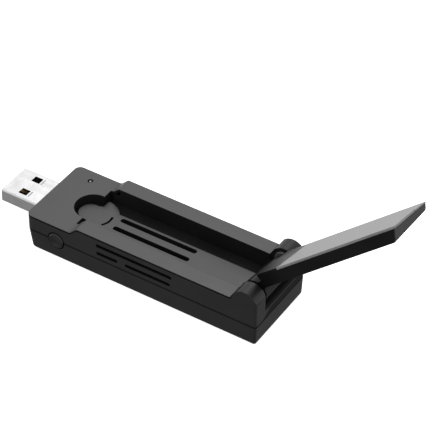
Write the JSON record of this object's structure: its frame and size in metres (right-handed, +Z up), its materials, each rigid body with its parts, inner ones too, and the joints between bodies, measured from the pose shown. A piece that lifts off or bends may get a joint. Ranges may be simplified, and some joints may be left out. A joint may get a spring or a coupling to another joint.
{
  "type": "usb wifi adapter",
  "caption": "USB wireless network adapter: a stepped case with a full-size plug at one end, a side pairing button, and a flat antenna that folds out of a recess in the top.",
  "frame": {"origin": "middle of the flat underside of the case", "axes": "+X from the plug towards the antenna hinge, +Y away from the wall with the button, +Z up out of the top cover"},
  "size_m": [0.1309, 0.0267, 0.0574],
  "materials": {
    "case_plastic": "fine satin texture, black",
    "cover_plastic": "satin charcoal",
    "button_plastic": "smooth satin black",
    "antenna_plastic": "gloss black",
    "antenna_cover_plastic": "gloss charcoal",
    "label": "blank silver-grey film",
    "plug_steel": "bright nickel-plated sheet",
    "sheet_steel": "tinned sheet",
    "gold_contact": "gold-plated",
    "tongue_plastic": "black moulded",
    "circuit_board": "green solder mask",
    "chip_plastic": "moulded black",
    "clear_plastic": "clear moulded",
    "thermal_rubber": "soft matt",
    "lead_jacket": "thin black jacket"
  },
  "bodies": {
    "case": {"bottom_shell": "case_plastic", "upper_housing": "case_plastic", "top_cover": "cover_plastic", "rating_label": "label", "usb_plug_shell": "plug_steel", "usb_tongue": "tongue_plastic", "plug_contact_1": "gold_contact", "plug_contact_2": "gold_contact", "plug_contact_3": "gold_contact", "plug_contact_4": "gold_contact", "fast_contact_1": "gold_contact", "fast_contact_2": "gold_contact", "fast_contact_3": "gold_contact", "fast_contact_4": "gold_contact", "fast_contact_5": "gold_contact", "main_board": "circuit_board", "radio_shield": "sheet_steel", "amplifier_shield": "sheet_steel", "radio_chip": "chip_plastic", "memory_chip": "chip_plastic", "crystal": "chip_plastic", "power_inductor": "chip_plastic", "status_led": "clear_plastic", "amplifier_chip_1": "chip_plastic", "amplifier_chip_2": "chip_plastic", "amplifier_chip_3": "chip_plastic", "thermal_pad": "thermal_rubber", "tact_switch": "chip_plastic", "aerial_socket_left": "gold_contact", "aerial_socket_right": "gold_contact", "aerial_lead_left": "lead_jacket", "aerial_lead_right": "lead_jacket", "led_light_pipe": "clear_plastic", "pivot_sleeve_left": "sheet_steel", "pivot_sleeve_right": "sheet_steel", "friction_washer_left": "sheet_steel", "friction_washer_right": "sheet_steel"},
    "antenna": {"antenna_shell": "antenna_plastic", "antenna_cover": "antenna_cover_plastic", "antenna_board": "circuit_board", "antenna_lead_left": "lead_jacket", "antenna_lead_right": "lead_jacket"},
    "button": {"pairing_button": "button_plastic", "switch_plunger": "chip_plastic"}
  },
  "joints": [
    {"name": "antenna_hinge", "type": "hinge", "parent": "case", "child": "antenna", "pos_m": [0.0351, 0, 0.0142], "axis": [0, 1, 0], "range_deg": [-137.5, 42.5]},
    {"name": "button_press", "type": "slide", "parent": "case", "child": "button", "axis": [0, 1, 0], "range_m": [0, 0.0005], "stiffness_N_per_m": 400}
  ]
}
